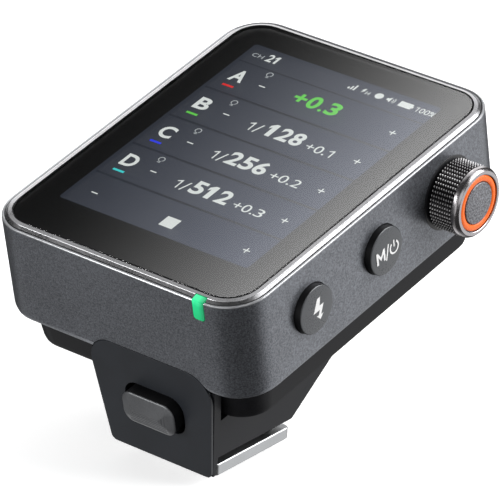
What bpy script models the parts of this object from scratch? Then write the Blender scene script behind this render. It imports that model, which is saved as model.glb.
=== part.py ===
"""Wireless flash trigger: a touch-screen transmitter that rides in a camera's
accessory (hot) shoe.

Lengths below are millimetres and are multiplied by MM when the meshes are made.

Row frame: origin at the centre contact, on the underside of the shoe foot;
+Z up out of the shoe, +Y the way the foot slides in, +X towards the side that
carries the dial and the two round buttons.

Body frame (u, v, w): u across, v along the long side, w out of the screen.
The whole body is tilted by TILT about X on its shoe block, so that the screen
looks up and towards the photographer's eye.
"""
import math

import bmesh
import bpy
from mathutils import Matrix, Vector

for _o in list(bpy.data.objects):
    bpy.data.objects.remove(_o, do_unlink=True)

MM = 0.001

# ---------------------------------------------------------------- dimensions
CASE_W = 48.5            # across
CASE_L = 63.83           # along
CASE_H = 16.9            # painted case, rim to lower edge
CASE_R = 6.58            # vertical corners
WALL = 1.45
TILT = math.radians(13.3)
SHOE_OFF = 5.34          # shoe centre line is this far towards the dial side
BODY_Y = -17.57          # body frame origin seen from the row frame
BODY_Z = 32.40

FOOT_W = 18.6            # ISO 518 accessory shoe foot
FOOT_T = 1.95
FOOT_Y0, FOOT_Y1 = -8.85, 8.80
RAIL_GAP = 1.60          # room for the rails of the shoe
NECK_W = 12.0

GLASS_TOP = 0.44
GLASS_IN = 1.80          # glass edge, in from the case side
KEY_W = -8.0             # height of the buttons and the dial on the side
TEST_V, MENU_V, DIAL_V = 15.45, 32.30, 49.05
KEY_R = 3.85
KEY_OUT = 1.10
KEY_TRAVEL = 0.45
DIAL_OUT = 5.70
DIAL_TIP, DIAL_ROOT, DIAL_BAND = 5.60, 5.22, 5.50
DIAL_TEETH = 52
DIAL_TRAVEL = 0.25
REL_W = -23.70           # release button centre
REL_OUT = 1.85
REL_TRAVEL = 1.80
PIN_Y = 6.3              # locking pin
PIN_LIFT = 1.45
PIN_R = 0.95
GAP = 0.15               # running and seam clearance

HALF = CASE_W / 2


# ------------------------------------------------------------------- helpers
def material(name, rgb, rough, metal=0.0, alpha=1.0, emit=None):
    m = bpy.data.materials.new(name)
    m.use_nodes = True
    b = m.node_tree.nodes["Principled BSDF"]
    b.inputs["Base Color"].default_value = (*rgb, 1)
    b.inputs["Roughness"].default_value = rough
    b.inputs["Metallic"].default_value = metal
    b.inputs["Alpha"].default_value = alpha
    if emit:
        b.inputs["Emission Color"].default_value = (*emit, 1)
        b.inputs["Emission Strength"].default_value = 1.0
    m.diffuse_color = (*rgb, alpha)
    return m


body_frame = bpy.data.objects.new("body_frame", None)
bpy.context.collection.objects.link(body_frame)
body_frame.location = (-SHOE_OFF * MM, BODY_Y * MM, BODY_Z * MM)
body_frame.rotation_euler = (TILT, 0, 0)


def put(name, bm, mat=None, loc=(0, 0, 0), parent=body_frame, smooth=35, cutter=False):
    """Turn a bmesh in millimetres into a placed object."""
    bmesh.ops.recalc_face_normals(bm, faces=bm.faces)
    bmesh.ops.scale(bm, vec=(MM, MM, MM), verts=bm.verts)
    me = bpy.data.meshes.new(name)
    bm.to_mesh(me)
    bm.free()
    ob = bpy.data.objects.new(name, me)
    bpy.context.collection.objects.link(ob)
    ob.parent = parent
    ob.location = Vector(loc) * MM
    if cutter:
        ob.hide_render = True
        ob.display_type = 'WIRE'
    else:
        me.materials.append(mat)
        me.shade_smooth()
        me.set_sharp_from_angle(angle=math.radians(smooth))
    return ob


def boolean(ob, other, op='DIFFERENCE'):
    m = ob.modifiers.new(other.name, 'BOOLEAN')
    m.operation = op
    m.object = other
    m.solver = 'EXACT'
    return ob


def tool(name, bm, loc=(0, 0, 0), parent=body_frame):
    return put("tool_" + name, bm, None, loc, parent, cutter=True)


def rounded(x0, x1, y0, y1, r, n=8):
    """Corner-rounded rectangle as (x, y) pairs, counter-clockwise."""
    r = max(min(r, (x1 - x0) / 2 - 1e-4, (y1 - y0) / 2 - 1e-4), 1e-3)
    pts = []
    for cx, cy, a0 in ((x1 - r, y0 + r, -90), (x1 - r, y1 - r, 0),
                       (x0 + r, y1 - r, 90), (x0 + r, y0 + r, 180)):
        for i in range(n + 1):
            a = math.radians(a0 + 90 * i / n)
            pts.append((cx + r * math.cos(a), cy + r * math.sin(a)))
    return pts


def rounded_polygon(corners, n=6):
    """Polygon with a radius at each corner: corners are (x, y, r)."""
    pts = []
    k = len(corners)
    for i, (x, y, r) in enumerate(corners):
        p, a, b = Vector((x, y)), Vector(corners[i - 1][:2]), Vector(corners[(i + 1) % k][:2])
        da, db = (a - p).normalized(), (b - p).normalized()
        if r <= 0:
            pts.append((x, y))
            continue
        half = da.angle(db) / 2
        t = r / math.tan(half)
        c = p + (da + db).normalized() * (r / math.sin(half))
        v0, v1 = p + da * t - c, p + db * t - c
        a0, a1 = math.atan2(v0.y, v0.x), math.atan2(v1.y, v1.x)
        d = (a1 - a0 + math.pi) % (2 * math.pi) - math.pi
        for j in range(n + 1):
            s = a0 + d * j / n
            pts.append((c.x + r * math.cos(s), c.y + r * math.sin(s)))
    return pts


def loft(loops, closed=False):
    """Skin equal-length loops of 3-D points; cap the ends unless closed."""
    bm = bmesh.new()
    rings = [[bm.verts.new(p) for p in loop] for loop in loops]
    n = len(rings[0])
    pairs = list(zip(rings, rings[1:]))
    if closed:
        pairs.append((rings[-1], rings[0]))
    for a, b in pairs:
        for i in range(n):
            bm.faces.new((a[i], a[(i + 1) % n], b[(i + 1) % n], b[i]))
    if not closed:
        bm.faces.new(rings[0])
        bm.faces.new(list(reversed(rings[-1])))
    return bm


def prism(outline, axis, lo, hi, centre=(0, 0, 0)):
    """Extrude a 2-D outline along an axis. Outline axes follow X, Y, Z order."""
    place = {'X': lambda p, h: (h, p[0], p[1]),
             'Y': lambda p, h: (p[0], h, p[1]),
             'Z': lambda p, h: (p[0], p[1], h)}[axis]
    bm = loft([[place(p, lo) for p in outline], [place(p, hi) for p in outline]])
    bmesh.ops.translate(bm, vec=centre, verts=bm.verts)
    return bm


def block(x0, x1, y0, y1, z0, z1):
    return prism([(x0, y0), (x1, y0), (x1, y1), (x0, y1)], 'Z', z0, z1)


def turned(profile, seg=32, axis='Z', ring=False, radius=None):
    """Solid of revolution. Profile is (r, h); ring=True closes the section on
    itself, otherwise both ends lie on the axis. radius(k, r, h) may vary r."""
    bm = bmesh.new()
    rings = []
    for r, h in profile:
        if r < 1e-6:
            rings.append([bm.verts.new((0, 0, h))])
            continue
        ringv = []
        for k in range(seg):
            a = 2 * math.pi * k / seg
            rr = radius(k, r, h) if radius else r
            ringv.append(bm.verts.new((rr * math.cos(a), rr * math.sin(a), h)))
        rings.append(ringv)
    pairs = list(zip(rings, rings[1:]))
    if ring:
        pairs.append((rings[-1], rings[0]))
    for a, b in pairs:
        for k in range(seg):
            j = (k + 1) % seg
            if len(a) == 1:
                bm.faces.new((a[0], b[j], b[k]))
            elif len(b) == 1:
                bm.faces.new((a[k], a[j], b[0]))
            else:
                bm.faces.new((a[k], a[j], b[j], b[k]))
    if axis == 'X':
        bmesh.ops.rotate(bm, cent=(0, 0, 0), matrix=Matrix.Rotation(math.pi / 2, 3, 'Y'), verts=bm.verts)
    elif axis == 'Y':
        bmesh.ops.rotate(bm, cent=(0, 0, 0), matrix=Matrix.Rotation(-math.pi / 2, 3, 'X'), verts=bm.verts)
    return bm


def rod(r, lo, hi, seg=24, axis='Z', turn=0.0):
    pts = [(r * math.cos(2 * math.pi * k / seg + turn), r * math.sin(2 * math.pi * k / seg + turn))
           for k in range(seg)]
    return prism(pts, axis, lo, hi)


def coil(r, wire, lo, hi, turns, per=14, sides=6, axis='Z'):
    """Compression spring: a closed tube along a helix with flat-capped ends."""
    loops = []
    n = int(turns * per)
    for i in range(n + 1):
        t = i / n
        a = 2 * math.pi * turns * t
        h = lo + wire + (hi - lo - 2 * wire) * t
        c = Vector((r * math.cos(a), r * math.sin(a), h))
        out = Vector((math.cos(a), math.sin(a), 0))
        tan = Vector((-math.sin(a) * r * 2 * math.pi * turns, math.cos(a) * r * 2 * math.pi * turns,
                      hi - lo - 2 * wire)).normalized()
        up = tan.cross(out).normalized()
        loops.append([c + (out * math.cos(b) + up * math.sin(b)) * wire
                      for b in (2 * math.pi * k / sides for k in range(sides))])
    bm = loft(loops)
    if axis == 'Y':
        bmesh.ops.rotate(bm, cent=(0, 0, 0), matrix=Matrix.Rotation(-math.pi / 2, 3, 'X'), verts=bm.verts)
    return bm


def case_loop(d, w, dfront=None, dback=None, r=None, n=8):
    """Loop that runs round the body, d in from the case's sides, at height w."""
    df = d if dfront is None else dfront
    db = d if dback is None else dback
    rr = (CASE_R - d) if r is None else r
    return [(x, y, w) for x, y in rounded(-HALF + d, HALF - d, df, CASE_L - db, rr, n)]


# ----------------------------------------------------------------- materials
M_CASE = material("case_paint", (0.105, 0.112, 0.125), 0.45, 0.55)
M_BEZEL = material("bezel_metal", (0.60, 0.60, 0.61), 0.30, 1.0)
M_GLASS = material("cover_glass", (0.018, 0.020, 0.024), 0.06, 0.0)
M_PANEL = material("display_panel", (0.11, 0.125, 0.155), 0.25, 0.0)
M_SHEET = material("inner_steel", (0.55, 0.55, 0.54), 0.35, 1.0)
M_BOARD = material("circuit_board", (0.02, 0.10, 0.055), 0.45)
M_CELL = material("battery_wrap", (0.16, 0.17, 0.19), 0.42, 0.2)
M_BLACK = material("base_plastic", (0.022, 0.024, 0.028), 0.33)
M_PLATE = material("plate_plastic", (0.026, 0.030, 0.036), 0.42)
M_KEY = material("key_plastic", (0.075, 0.080, 0.088), 0.36)
M_REL = material("release_plastic", (0.115, 0.118, 0.125), 0.45)
M_DIAL = material("dial_chrome", (0.26, 0.255, 0.26), 0.24, 1.0)
M_ORANGE = material("dial_accent", (0.95, 0.20, 0.05), 0.28, 0.6)
M_DCAP = material("dial_cap", (0.21, 0.21, 0.225), 0.5, 0.7)
M_COLLAR = material("collar_plastic", (0.012, 0.012, 0.014), 0.45)
M_GREEN = material("light_pipe", (0.03, 0.55, 0.22), 0.18, 0.0, emit=(0.02, 0.55, 0.20))
M_FOOT = material("foot_metal", (0.66, 0.67, 0.68), 0.34, 1.0)
M_GOLD = material("contact_gold", (0.83, 0.62, 0.28), 0.22, 1.0)
M_SCREW = material("screw_steel", (0.16, 0.16, 0.165), 0.30, 1.0)
M_SPRING = material("spring_steel", (0.62, 0.62, 0.62), 0.28, 1.0)
M_INSUL = material("insulator", (0.02, 0.02, 0.02), 0.5)
M_PART = material("component", (0.03, 0.03, 0.032), 0.5)
M_FLEX = material("flex_circuit", (0.42, 0.17, 0.03), 0.4)
M_LED = material("led_lens", (0.75, 0.80, 0.72), 0.2)

# ------------------------------------------------------- painted upper case
case = put("upper_case", loft([
    case_loop(1.15, -CASE_H), case_loop(0.60, -CASE_H + 0.15), case_loop(0.20, -CASE_H + 0.55),
    case_loop(0.0, -CASE_H + 1.30), case_loop(0.0, -0.22), case_loop(0.08, -0.07),
    case_loop(0.25, 0.0), case_loop(0.42, -0.10), case_loop(0.42, -1.35),
    case_loop(WALL, -1.35), case_loop(WALL, -CASE_H + 1.0), case_loop(2.5, -CASE_H + 1.0),
    case_loop(2.5, -CASE_H)], closed=True), M_CASE)

SCREWS = [(sx * 17.4, v) for sx in (-1, 1) for v in (6.9, 55.4)]
for i, (su, sv) in enumerate(SCREWS):
    cu, cv = math.copysign(18.6, su), (5.65 if sv < 30 else CASE_L - 5.65)
    boolean(case, tool("boss_%d" % i, rod(4.2, -CASE_H + 0.02, -13.2, 28), (cu, cv, 0)), 'UNION')
    boolean(case, tool("boss_bore_%d" % i, rod(0.95, -CASE_H - 1, -14.0, 14), (su, sv, 0)))

for nm, v, r in (("test", TEST_V, KEY_R + GAP), ("menu", MENU_V, KEY_R + GAP), ("dial", DIAL_V, 4.45)):
    boolean(case, tool(nm + "_hole", rod(r, HALF - 3.0, HALF + 1.0, 32, 'X'), (0, v, KEY_W)))

PLATE = [(-6.78, -14.30, 4.2), (-4.20, -33.10, 1.0), (14.70, -33.10, 1.0), (17.24, -14.30, 4.2)]


def grow(corners, g):
    """Offset the plate's outline outwards by g."""
    cx = sum(c[0] for c in corners) / 4
    cy = sum(c[1] for c in corners) / 4
    return [(x + math.copysign(g, x - cx), y + math.copysign(g, y - cy), r + g) for x, y, r in corners]


PLATE_T = 0.45
boolean(case, tool("plate_recess", prism(rounded_polygon(grow(PLATE, GAP)), 'Y', -1.0, PLATE_T + 0.12)))

LED0, LED1, LED_W = 15.50, 17.50, -3.30
boolean(case, tool("pipe_slot", prism(rounded(LED0 - 0.1, LED1 + 0.1, LED_W - 0.1, 4.0, 0.55, 5), 'Y', -1.0, 2.0)))

USB_V, USB_W, JACK_V, JACK_W = 18.5, -13.2, 30.0, -13.6
boolean(case, tool("usb_mouth", prism(rounded(USB_V - 4.75, USB_V + 4.75, USB_W - 1.9, USB_W + 1.9, 1.85, 6),
                                      'X', -HALF - 1, -HALF + 3)))
boolean(case, tool("jack_mouth", rod(2.2, -HALF - 1, -HALF + 3, 20, 'X'), (0, JACK_V, JACK_W)))

# -------------------------------------------------- bezel ring, glass, screen
bezel = put("bezel_ring", loft([
    case_loop(0.56, -1.15), case_loop(0.56, -0.05), case_loop(0.94, 0.26), case_loop(1.00, 0.20),
    case_loop(1.05, 0.29), case_loop(1.60, 0.43), case_loop(1.66, 0.38), case_loop(1.66, -0.55),
    case_loop(3.10, -0.55), case_loop(3.10, -1.15)], closed=True), M_BEZEL, smooth=20)
boolean(bezel, tool("bezel_notch", block(LED0 - 0.1, LED1 + 0.1, -1.0, 1.18, -2.0, 2.0)))

glass = put("cover_glass", loft([
    case_loop(GLASS_IN, -0.35), case_loop(GLASS_IN, GLASS_TOP - 0.14),
    case_loop(GLASS_IN + 0.14, GLASS_TOP)]), M_GLASS, smooth=60)

put("display_panel", prism(rounded(-20.5, 20.5, 4.6, 60.0, 3.4, 4), 'Z', -2.70, -0.50), M_PANEL)

frame = put("mid_frame", prism(rounded(-22.4, 22.4, 3.5, 61.9, 4.0, 5), 'Z', -3.50, -2.90), M_SHEET)
POSTS = [(-18.6, 39.0), (10.0, 57.6)]
for i, (pu, pv) in enumerate(POSTS):
    boolean(frame, tool("post_%d" % i, rod(1.9, -10.05, -3.2, 16), (pu, pv, 0)), 'UNION')
    boolean(frame, tool("post_bore_%d" % i, rod(0.75, -11.0, -6.0, 12), (pu, pv, 0)))

# ---------------------------------------------------------- electronics
BOARD0, BOARD1 = -11.40, -10.20
board = put("main_board", prism(rounded(-21.6, 21.1, 3.7, 60.6, 3.0, 4), 'Z', BOARD0, BOARD1), M_BOARD)
boolean(board, tool("encoder_cutout", block(14.3, 25.0, 43.3, 54.8, -13.0, -9.0)))
for i, (pu, pv) in enumerate(POSTS):
    boolean(board, tool("board_hole_%d" % i, rod(0.95, -13.0, -9.0, 12), (pu, pv, 0)))
    put("board_screw_%d" % (i + 1), turned([(0, -12.30), (1.45, -12.30), (1.6, -12.10), (1.6, -11.52), (0.62, -11.52),
                                            (0.62, -7.2), (0, -6.8)], 14), M_SCREW, (pu, pv, 0))

put("battery_pack", loft([[(x, y, w) for x, y in rounded(-13.0 + i, 19.0 - i, 10.3 + i, 42.0 - i, 2.0 - i, 3)]
                          for i, w in ((0.6, -18.40), (0.0, -17.8), (0.0, -13.2), (0.6, -12.60))]), M_CELL)
put("radio_module", prism(rounded(-19.5, -6.5, 43.5, 58.5, 0.6, 2), 'Z', -10.05, -7.70), M_SHEET)
put("processor_shield", prism(rounded(-13.0, -1.0, 18.0, 32.0, 0.6, 2), 'Z', -10.05, -8.30), M_SHEET)
put("beeper", turned([(1.0, -10.05), (4.4, -10.05), (4.5, -9.9), (4.5, -7.7), (4.3, -7.5), (1.0, -7.5)], 24, ring=True),
    M_PART, (7.0, 25.0, 0))
put("antenna_flex", block(-22.65, -22.40, 34.0, 58.0, -9.4, -4.2), M_FLEX)
put("status_led", block(15.75, 17.25, 3.9, 5.3, -10.05, -9.45), M_LED)

usb = put("usb_c_receptacle", prism(rounded(USB_V - 4.47, USB_V + 4.47, USB_W - 1.60, USB_W + 1.60, 1.55, 6),
                                    'X', -HALF + 0.35, -16.9), M_SHEET)
boolean(usb, tool("usb_bay", prism(rounded(USB_V - 4.17, USB_V + 4.17, USB_W - 1.28, USB_W + 1.28, 1.25, 6),
                                   'X', -HALF - 1, -17.8)))
boolean(usb, tool("usb_tongue", block(-HALF + 1.2, -17.5, USB_V - 3.34, USB_V + 3.34, USB_W - 0.35, USB_W + 0.35)),
        'UNION')
jack = put("sync_jack", rod(2.0, -HALF + 0.30, -14.8, 20, 'X'), M_PART, (0, JACK_V, JACK_W))
boolean(jack, tool("jack_bore", rod(1.28, -HALF - 1, -16.3, 16, 'X'), (0, JACK_V, JACK_W)))

# light pipe: window on the front and over the rim, with a leg down to the lamp
pipe = put("status_light_pipe", prism(rounded_polygon(
    [(LED0, 0.34, 0.0), (LED0, LED_W, 0.48), (LED1, LED_W, 0.48), (LED1, 0.34, 0.0)], 5), 'Y', -0.04, 1.40), M_GREEN)
boolean(pipe, tool("pipe_profile", prism([(-0.5, -5.0), (2.0, -5.0), (2.0, -1.30), (1.08, -1.30), (1.08, 0.26),
                                          (0.18, 0.06), (-0.04, -0.12), (-0.5, -0.12)], 'X', 14.0, 19.0)), 'INTERSECT')
boolean(pipe, tool("pipe_leg_a", block(15.75, 17.25, 1.2, 3.0, -3.2, -2.0)), 'UNION')
boolean(pipe, tool("pipe_leg_b", prism([(2.0, -2.2), (2.0, -9.3), (5.1, -9.3), (5.1, -8.2), (3.0, -8.2), (3.0, -2.2)],
                                       'X', 15.80, 17.20)), 'UNION')

# ------------------------------------------------------------- side buttons
for nm, v in (("test", TEST_V), ("menu", MENU_V)):
    # origin on the button's axis, at the case side; +X points outwards
    put(nm + "_button", turned([(0, KEY_OUT + 0.08), (2.0, KEY_OUT + 0.05), (KEY_R - 0.14, KEY_OUT - 0.02),
                                (KEY_R, KEY_OUT - 0.14), (KEY_R, -1.62), (4.30, -1.62), (4.30, -2.25), (1.2, -2.25),
                                (1.2, -3.2), (0, -3.2)], 36, 'X'), M_KEY, (HALF, v, KEY_W))
    put(nm + "_switch_plunger", turned([(0, -3.32), (0.85, -3.32), (0.85, -4.7), (0, -4.7)], 14, 'X'),
        M_PART, (HALF, v, KEY_W))
    sw = put(nm + "_switch", block(-8.6, -4.35, -3.0, 3.0, -2.05, 2.05), M_PART, (HALF, v, KEY_W))
    boolean(sw, tool(nm + "_switch_bore", rod(1.0, -5.3, -3.0, 14, 'X'), (HALF, v, KEY_W)))

# --------------------------------------------------------------------- dial
put("dial_collar", turned([(2.85, 0.35), (4.68, 0.35), (4.75, 0.28), (4.75, 0.10), (4.30, 0.10), (4.30, -1.9),
                           (2.85, -1.9)], 36, 'X', ring=True), M_COLLAR, (HALF, DIAL_V, KEY_W))


def flutes(k, r, h):
    return r if r < DIAL_TIP - 1e-6 else (DIAL_TIP if k % 2 else DIAL_ROOT)


put("dial_body", turned([(1.75, -0.9), (2.6, -0.9), (2.6, 0.72), (4.88, 0.72), (4.88, 0.36), (DIAL_ROOT, 0.36), (DIAL_TIP, 0.44), (DIAL_TIP, 4.40),
                         (DIAL_BAND, 4.50), (DIAL_BAND, 5.28), (5.18, DIAL_OUT), (4.46, DIAL_OUT), (4.46, 4.90),
                         (1.75, 4.90)], DIAL_TEETH * 2, 'X', ring=True, radius=flutes), M_DIAL, (HALF, DIAL_V, KEY_W),
    smooth=25)
put("dial_accent_ring", turned([(3.40, 5.0), (4.36, 5.0), (4.36, DIAL_OUT - 0.10), (4.28, DIAL_OUT - 0.04),
                                (3.46, DIAL_OUT - 0.04), (3.40, DIAL_OUT - 0.10)], 40, 'X', ring=True), M_ORANGE,
    (HALF, DIAL_V, KEY_W))
put("dial_centre_cap", turned([(0, 5.0), (3.30, 5.0), (3.30, DIAL_OUT - 0.14), (3.2, DIAL_OUT - 0.07), (0, DIAL_OUT - 0.04)],
                              36, 'X'), M_DCAP, (HALF, DIAL_V, KEY_W))
put("dial_shaft", rod(1.45, -7.2, 4.75, 6, 'X'), M_SPRING, (HALF, DIAL_V, KEY_W))
rotor = put("encoder_rotor", rod(2.35, -8.6, -2.4, 24, 'X'), M_INSUL, (HALF, DIAL_V, KEY_W))
boolean(rotor, tool("rotor_key", rod(1.68, -9.5, -1.5, 6, 'X'), (HALF, DIAL_V, KEY_W)))
enc = put("encoder_body", block(-9.2, -2.95, -5.25, 5.25, -4.45, 4.35), M_SHEET, (HALF, DIAL_V, KEY_W))
boolean(enc, tool("encoder_bore", rod(2.6, -10.0, -2.0, 24, 'X'), (HALF, DIAL_V, KEY_W)))

# --------------------------------------------------------------- base cover
BASE_BOT = -22.90
base = put("base_cover", loft([
    case_loop(4.3, -21.50, 4.3, 5.9, 3.7), case_loop(3.7, -17.05, 3.7, 4.9, 4.3),
    case_loop(2.25, -17.05, 2.25, 3.4, 5.75), case_loop(2.95, -21.90, 2.95, 4.4, 5.05),
    case_loop(3.15, -22.55, 3.15, 4.65, 4.85), case_loop(3.75, BASE_BOT, 3.75, 5.3, 4.25)]), M_BLACK)
for i, (su, sv) in enumerate(SCREWS):
    boolean(base, tool("column_%d" % i, rod(2.1, -22.0, -17.08, 18), (su, sv, 0)), 'UNION')
    boolean(base, tool("column_bore_%d" % i, turned([(0, -24.0), (1.95, -24.0), (1.95, -22.0), (0.95, -22.0),
                                                     (0.95, -16.0), (0, -16.0)], 20), (su, sv, 0)))
    put("base_screw_%d" % (i + 1), turned([(0, -22.50), (0.55, -22.78), (1.55, -22.78), (1.70, -22.60), (1.70, -22.12),
                                           (0.68, -22.12), (0.68, -14.9), (0, -14.5)], 18), M_SCREW, (su, sv, 0))
SU = SHOE_OFF
boolean(base, tool("base_window", block(SU - 6.7, SU + 6.7, -1.0, 28.6, -30.0, -19.8)))
cover = put("mechanism_cover", block(SU - 8.4, SU + 8.4, 5.4, 30.6, -21.35, -19.20), M_PART)
boolean(cover, tool("mechanism_bay", block(SU - 7.2, SU + 7.2, 4.0, 29.2, -24.0, -20.20)))

# -------------------------------------------------- front plate, shoe block
plate = put("front_plate", prism(rounded_polygon(PLATE), 'Y', 0.0, PLATE_T), M_PLATE)
SLOT_A, SLOT_B, SLOT_R = 5.60, 3.35, 2.50
boolean(plate, tool("plate_slot", prism(rounded(SU - SLOT_A, SU + SLOT_A, REL_W - SLOT_B + 0.05, REL_W + SLOT_B + 0.05,
                                                SLOT_R, 6), 'Y', -1.0, 1.0)))

BLK0 = FOOT_T + RAIL_GAP
BLK_FRONT = PLATE_T + 0.12


def blk_loop(z, rear=None, y0=-16.0):
    hx = 9.78 + 0.153 * (z - 3.5)
    yr = 10.4 + 0.93 * (max(z, 3.0) - 3.5)
    pts = rounded(-hx, hx, y0, yr, 2.5, 6)
    return [(x, y, z) for x, y in pts]


shoe = put("shoe_block", loft([blk_loop(0.25), blk_loop(3.0), blk_loop(23.0)]), M_BLACK, parent=None)
boolean(shoe, tool("blk_front", block(-30, 40, -20.0, BLK_FRONT, -60, 20)))
boolean(shoe, tool("blk_top", prism([(-5.0, -16.95 - 0.1), (2.08, -16.95 - 0.1), (2.08, BASE_BOT - GAP),
                                     (60.0, BASE_BOT - GAP), (60.0, 20.0), (-5.0, 20.0)], 'X', -30, 40)))
hn = NECK_W / 2
boolean(shoe, tool("blk_under", prism([(-30, -5), (30, -5), (30, BLK0), (hn, BLK0), (hn, FOOT_T + 0.1),
                                       (-hn, FOOT_T + 0.1), (-hn, BLK0), (-30, BLK0)], 'Y', FOOT_Y0 - GAP, 40.0),
                    parent=None))
boolean(shoe, tool("blk_rear", block(-hn - 1, hn + 1, 8.3, 40, 1.0, BLK0), parent=None))
boolean(shoe, tool("blk_slot", prism(rounded(SU - SLOT_A, SU + SLOT_A, REL_W - SLOT_B + 0.05, REL_W + SLOT_B + 0.05,
                                             SLOT_R, 6), 'Y', -1.0, 3.0)))
boolean(shoe, tool("blk_bay", block(SU - 6.6, SU + 6.6, 2.2, 8.9, -27.5, -16.0)))
boolean(shoe, tool("blk_well", block(SU - 5.4, SU + 5.4, 8.0, 28.4, -26.3, -16.0)))
boolean(shoe, tool("blk_board_bay", block(-5.5, 5.5, -5.9, 1.9, 5.2, 8.2), parent=None))
boolean(shoe, tool("blk_pin_hole", rod(PIN_R + 0.2, -2.0, 14.0, 16), (0, PIN_Y, 0), None))
CARR = (-5.05, 5.05, -4.60, 1.60)
boolean(shoe, tool("blk_carrier", block(CARR[0] - GAP, CARR[1] + GAP, CARR[2] - GAP, CARR[3] + GAP, 0.0, 7.0), parent=None))
FOOT_SCREWS = [(-4.2, -6.9), (4.2, -6.9), (-4.2, 6.9), (4.2, 6.9)]
for i, (x, y) in enumerate(FOOT_SCREWS):
    boolean(shoe, tool("blk_screw_%d" % i, rod(0.82, -1.0, 4.9, 12), (x, y, 0), None))

# ---------------------------------------------------------- shoe foot plate
FT = [(x, y) for x, y in rounded(-FOOT_W / 2, FOOT_W / 2, FOOT_Y0, FOOT_Y1, 0.9, 4)]


def foot_loop(i, z):
    return [(x, y, z) for x, y in rounded(-FOOT_W / 2 + i, FOOT_W / 2 - i, FOOT_Y0 + i, FOOT_Y1 - i, 0.9 - i, 4)]


foot = put("shoe_foot", loft([foot_loop(0.2, 0.0), foot_loop(0.0, 0.2), foot_loop(0.0, FOOT_T - 0.12),
                              foot_loop(0.12, FOOT_T)]), M_FOOT, parent=None)
boolean(foot, tool("foot_pin_hole", rod(PIN_R + 0.2, -1.0, 3.0, 16), (0, PIN_Y, 0), None))
boolean(foot, tool("foot_carrier", prism(rounded(CARR[0] - 0.1, CARR[1] + 0.1, CARR[2] - 0.1, CARR[3] + 0.1, 0.5, 3),
                                         'Z', -1.0, 3.0), parent=None))
for i, (x, y) in enumerate(FOOT_SCREWS):
    boolean(foot, tool("foot_sink_%d" % i, turned([(0, -1.0), (2.5, -1.0), (0.86, 0.64), (0.86, 3.0), (0, 3.0)], 16),
                       (x, y, 0), None))
    put("foot_screw_%d" % (i + 1), turned([(0, 0.32), (0.45, 0.06), (1.30, 0.06), (0.68, 0.70), (0.68, 4.4), (0, 4.7)], 16),
        M_SCREW, (x, y, 0), None)

# ------------------------------------------------ contacts under the foot
PINS = [("centre_contact_pin", 0.0, 0.0, 1.15), ("contact_pin_1", -4.0, -0.6, 0.55), ("contact_pin_2", -2.2, -3.3, 0.55),
        ("contact_pin_3", 2.2, -3.3, 0.55), ("contact_pin_4", 4.0, -0.6, 0.55)]
carrier = put("contact_carrier", prism(rounded(CARR[0], CARR[1], CARR[2], CARR[3], 0.4, 3), 'Z', 0.05, 5.60), M_INSUL,
              parent=None)
for nm, x, y, r in PINS:
    boolean(carrier, tool(nm + "_bore", turned([(0, -1.0), (r + 0.12, -1.0), (r + 0.12, 2.2), (r + 0.36, 2.2),
                                                (r + 0.36, 6.5), (0, 6.5)], 16), (x, y, 0), None))
    put(nm, turned([(0, -0.50), (r * 0.55, -0.44), (r, -0.10), (r, 2.38), (r + 0.24, 2.38), (r + 0.24, 2.95), (r, 2.95),
                    (r, 4.6), (0, 4.6)], 14), M_GOLD, (x, y, 0), None)
put("contact_board", block(-5.2, 5.2, -5.6, 1.6, 6.6, 7.4), M_BOARD, parent=None)

# -------------------------------------------------------- release and lock
# Button origin: on its axis of travel (+v) in the plane of the front plate.


def rel_loop(a, b, r, v):
    return [(x, v, z) for x, z in rounded(-a, a, -b, b, r, 5)]


rel = put("release_button", loft([
    rel_loop(2.35, 0.08, 0.05, -2.30), rel_loop(4.72, 2.47, 1.67, -1.62), rel_loop(4.88, 2.63, 1.83, -1.54),
    rel_loop(4.95, 2.70, 1.90, -1.40), rel_loop(4.95, 2.70, 1.90, 2.40), rel_loop(6.10, 3.40, 1.90, 2.40),
    rel_loop(6.10, 3.40, 1.90, 3.30)]), M_REL, (SU, 0, REL_W))
# carriage behind the button: two arms and a cross-bar round the locking pin
boolean(rel, tool("arms", prism([(-4.4, -1.9), (4.4, -1.9), (4.4, -0.1), (-4.4, -0.1)], 'Y', 3.0, 23.0), (SU, 0, REL_W)),
        'UNION')
boolean(rel, tool("arm_gap", block(-3.0, 3.0, 4.8, 21.5, -3.0, 3.0), (SU, 0, REL_W)))
for k, side in enumerate((-1, 1)):
    a, b = sorted((side * 1.75, side * 3.2))
    boolean(rel, tool("ramp_%d" % k, prism([(13.0, -1.9), (19.30, -1.9), (15.80, 1.47), (13.0, 1.47)], 'X', a, b),
                      (SU, 0, REL_W)), 'UNION')
put("release_spring", coil(0.95, 0.17, 23.1, 28.2, 6.0, axis='Y'), M_SPRING, (SU, 0, REL_W - 1.0))

# locking pin: cross-bar rides on the carriage's ramps
BAR_Z = 13.0
pin = put("lock_pin", turned([(0, -1.35), (0.6, -1.35), (PIN_R, -1.0), (PIN_R, 13.3), (1.5, 13.6), (1.5, 14.0),
                              (0, 14.0)], 18), M_SPRING, (0, PIN_Y, 0), None)
boolean(pin, tool("pin_bar", rod(0.45, -2.8, 2.8, 12, 'X'), (0, PIN_Y, BAR_Z), None), 'UNION')
put("lock_pin_spring", coil(0.95, 0.13, 14.1, 16.85, 3.5), M_SPRING, (0, PIN_Y, 0), None)
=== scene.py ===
import math

import bmesh
import bpy
import numpy as np
from mathutils import Matrix, Vector


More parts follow.
